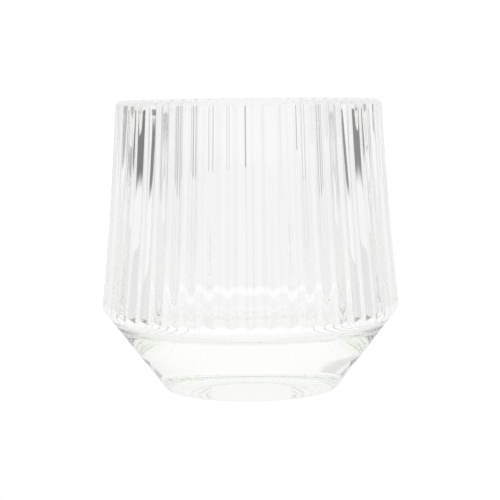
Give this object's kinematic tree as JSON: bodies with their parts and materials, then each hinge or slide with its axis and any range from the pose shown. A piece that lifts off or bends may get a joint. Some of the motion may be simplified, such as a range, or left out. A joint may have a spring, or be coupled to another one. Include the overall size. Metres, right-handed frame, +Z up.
{
  "type": "tealight holder",
  "caption": "Clear pressed-glass tealight holder: fluted wall that widens downwards, rounded shoulder, plain cone and a thick solid foot.",
  "frame": {"origin": "on the axis, in the plane that the foot rests on", "axes": "+Z up along the axis of the glass, out of its mouth; the glass is round, so X and Y are free"},
  "size_m": [0.0772, 0.0772, 0.075],
  "materials": {
    "clear_glass": "fire-polished clear pressed glass with a faint green tint in its depth"
  },
  "bodies": {
    "root": {"glass_holder": "clear_glass"}
  },
  "joints": []
}
